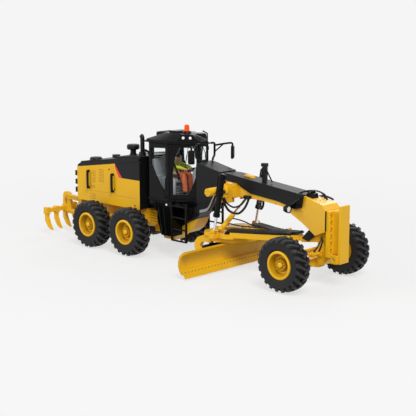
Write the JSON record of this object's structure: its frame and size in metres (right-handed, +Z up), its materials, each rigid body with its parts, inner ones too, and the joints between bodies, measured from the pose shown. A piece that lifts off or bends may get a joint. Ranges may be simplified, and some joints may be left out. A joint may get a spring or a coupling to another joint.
{
  "type": "die-cast motor grader model",
  "caption": "Scale model of a six-wheeled motor grader with a hinged frame, glazed cab, curved blade under a turning circle and a rear ripper.",
  "frame": {"origin": "middle of the model on the floor under its wheels", "axes": "+X forward along the machine, +Y to its left, +Z up"},
  "size_m": [0.2086, 0.0846, 0.0727],
  "materials": {
    "yellow_paint": "satin paint on zinc",
    "black_plastic": "satin black",
    "bright_rod": "polished",
    "tyre_rubber": "matt",
    "clear_glass": "clear",
    "grey_plastic": "matt",
    "figure_plastic": "matt",
    "orange_lens": "clear tint"
  },
  "bodies": {
    "front_frame": {"main_frame": "yellow_paint", "neck_cover": "black_plastic", "push_block": "yellow_paint", "front_axle": "yellow_paint", "lift_saddle": "yellow_paint", "ball_boot": "black_plastic", "cab_shell": "black_plastic", "cab_doors": "black_plastic", "cab_roof": "black_plastic", "cab_glass": "clear_glass", "cab_inside": "grey_plastic", "seat": "grey_plastic", "operator_figure": "figure_plastic", "roof_unit": "black_plastic", "beacon": "orange_lens", "mirrors": "black_plastic", "ladders": "black_plastic", "side_boxes": "black_plastic", "headlamps": "black_plastic", "mast": "black_plastic", "frame_hoses": "black_plastic"},
    "rear_frame": {"rear_frame": "yellow_paint", "hood": "yellow_paint", "hood_cover": "black_plastic", "hood_trim": "black_plastic", "exhaust": "black_plastic", "precleaner": "black_plastic", "tandems": "yellow_paint"},
    "knuckle_right": {"knuckle_right": "yellow_paint"},
    "knuckle_left": {"knuckle_left": "yellow_paint"},
    "tie_rod": {"tie_rod": "yellow_paint"},
    "lift_barrels": {"lift_barrels": "black_plastic"},
    "lift_rods": {"lift_rods": "bright_rod"},
    "shift_rod": {"shift_rod": "bright_rod"},
    "shift_barrel": {"shift_barrel": "yellow_paint"},
    "drawbar": {"drawbar": "yellow_paint", "drawbar_hoses": "black_plastic", "circle_drive": "yellow_paint"},
    "circle": {"turn_circle": "yellow_paint", "side_shift_barrel": "black_plastic"},
    "blade": {"moldboard": "yellow_paint", "cutting_edge": "yellow_paint", "side_shift_rod": "bright_rod"},
    "ripper_arms": {"ripper_arms": "yellow_paint"},
    "ripper_links": {"ripper_links": "yellow_paint"},
    "ripper_beam": {"ripper_beam": "yellow_paint"},
    "ripper_barrel": {"ripper_barrel": "black_plastic"},
    "ripper_rod": {"ripper_rod": "bright_rod"},
    "wheel_front_right": {"tyre_front_right": "tyre_rubber", "rim_front_right": "yellow_paint"},
    "wheel_front_left": {"tyre_front_left": "tyre_rubber", "rim_front_left": "yellow_paint"},
    "wheel_mid_right": {"tyre_mid_right": "tyre_rubber", "rim_mid_right": "yellow_paint"},
    "wheel_mid_left": {"tyre_mid_left": "tyre_rubber", "rim_mid_left": "yellow_paint"},
    "wheel_rear_right": {"tyre_rear_right": "tyre_rubber", "rim_rear_right": "yellow_paint"},
    "wheel_rear_left": {"tyre_rear_left": "tyre_rubber", "rim_rear_left": "yellow_paint"}
  },
  "joints": [
    {"name": "articulation", "type": "hinge", "parent": "front_frame", "child": "rear_frame", "pos_m": [-0.0154, 0, 0.018], "axis": [0, 0, 1], "range_deg": [-20, 20]},
    {"name": "steer_right", "type": "hinge", "parent": "front_frame", "child": "knuckle_right", "pos_m": [0.0866, -0.0176, 0.0135], "axis": [0, 0, 1], "range_deg": [-35, 35]},
    {"name": "steer_left", "type": "hinge", "parent": "front_frame", "child": "knuckle_left", "pos_m": [0.0866, 0.0176, 0.0135], "axis": [0, 0, 1], "range_deg": [-35, 35]},
    {"name": "tie_rod_slide", "type": "slide", "parent": "front_frame", "child": "tie_rod", "axis": [0, 1, 0], "range_m": [-0.0035, 0.0035]},
    {"name": "spin_front_right", "type": "hinge", "parent": "knuckle_right", "child": "wheel_front_right", "pos_m": [0.0866, -0.0243, 0.0135], "axis": [0, 1, 0], "continuous": true},
    {"name": "spin_front_left", "type": "hinge", "parent": "knuckle_left", "child": "wheel_front_left", "pos_m": [0.0866, 0.0243, 0.0135], "axis": [0, 1, 0], "continuous": true},
    {"name": "spin_mid_right", "type": "hinge", "parent": "rear_frame", "child": "wheel_mid_right", "pos_m": [-0.02425, -0.02375, 0.0135], "axis": [0, 1, 0], "continuous": true},
    {"name": "spin_mid_left", "type": "hinge", "parent": "rear_frame", "child": "wheel_mid_left", "pos_m": [-0.02425, 0.02375, 0.0135], "axis": [0, 1, 0], "continuous": true},
    {"name": "spin_rear_right", "type": "hinge", "parent": "rear_frame", "child": "wheel_rear_right", "pos_m": [-0.05635, -0.02375, 0.0135], "axis": [0, 1, 0], "continuous": true},
    {"name": "spin_rear_left", "type": "hinge", "parent": "rear_frame", "child": "wheel_rear_left", "pos_m": [-0.05635, 0.02375, 0.0135], "axis": [0, 1, 0], "continuous": true},
    {"name": "blade_lift", "type": "hinge", "parent": "front_frame", "child": "drawbar", "pos_m": [0.0806, 0, 0.0215], "axis": [0, 1, 0], "range_deg": [-0.5, 8]},
    {"name": "circle_turn", "type": "hinge", "parent": "drawbar", "child": "circle", "pos_m": [0.0316, 0, 0.0155], "axis": [0, 0, 1], "range_deg": [-40, 40]},
    {"name": "blade_shift", "type": "slide", "parent": "circle", "child": "blade", "axis": [0, 1, 0], "range_m": [-0.008, 0.008]},
    {"name": "lift_barrel_tilt", "type": "hinge", "parent": "front_frame", "child": "lift_barrels", "pos_m": [0.0376, 0, 0.0415], "axis": [0, 1, 0], "range_deg": [-0.72, 3.99]},
    {"name": "lift_rod_slide", "type": "slide", "parent": "lift_barrels", "child": "lift_rods", "axis": [-0.1897, 0, -0.9818], "range_m": [-0.00677, 0.0007]},
    {"name": "shift_rod_tilt", "type": "hinge", "parent": "front_frame", "child": "shift_rod", "pos_m": [0.0346, 0.009, 0.0365], "axis": [1, 0, 0], "range_deg": [-13.82, 1.33]},
    {"name": "shift_barrel_slide", "type": "slide", "parent": "shift_rod", "child": "shift_barrel", "axis": [0, -0.8156, -0.5787], "range_m": [-0.00339, 0.00049]},
    {"name": "ripper_lift", "type": "hinge", "parent": "rear_frame", "child": "ripper_arms", "pos_m": [-0.0824, 0, 0.013], "axis": [0, 1, 0], "range_deg": [-8, 30]},
    {"name": "ripper_link_turn", "type": "hinge", "parent": "rear_frame", "child": "ripper_links", "pos_m": [-0.0832, 0, 0.0222], "axis": [0, 1, 0], "range_deg": [-9, 31]},
    {"name": "ripper_beam_level", "type": "hinge", "parent": "ripper_arms", "child": "ripper_beam", "pos_m": [-0.0969, 0, 0.0142], "axis": [0, 1, 0], "range_deg": [-31, 9]},
    {"name": "ripper_barrel_tilt", "type": "hinge", "parent": "rear_frame", "child": "ripper_barrel", "pos_m": [-0.0829, 0, 0.0226], "axis": [0, 1, 0], "range_deg": [-7.39, 26.33]},
    {"name": "ripper_rod_slide", "type": "slide", "parent": "ripper_barrel", "child": "ripper_rod", "axis": [-0.9516, 0, -0.3073], "range_m": [-0.00353, 0.00116]}
  ],
  "couplings": [
    {"joint": "steer_left", "follows": "steer_right", "ratio": 1},
    {"joint": "tie_rod_slide", "follows": "steer_right", "m_per_rad": -0.0054},
    {"joint": "lift_barrel_tilt", "follows": "blade_lift", "ratio": 0.43593},
    {"joint": "lift_rod_slide", "follows": "blade_lift", "m_per_rad": -0.04634},
    {"joint": "shift_rod_tilt", "follows": "blade_lift", "ratio": -1.6653},
    {"joint": "shift_barrel_slide", "follows": "blade_lift", "m_per_rad": -0.022162},
    {"joint": "ripper_link_turn", "follows": "ripper_lift", "ratio": 1},
    {"joint": "ripper_beam_level", "follows": "ripper_lift", "ratio": -1},
    {"joint": "ripper_barrel_tilt", "follows": "ripper_lift", "ratio": 0.86109},
    {"joint": "ripper_rod_slide", "follows": "ripper_lift", "m_per_rad": -0.0061699}
  ]
}
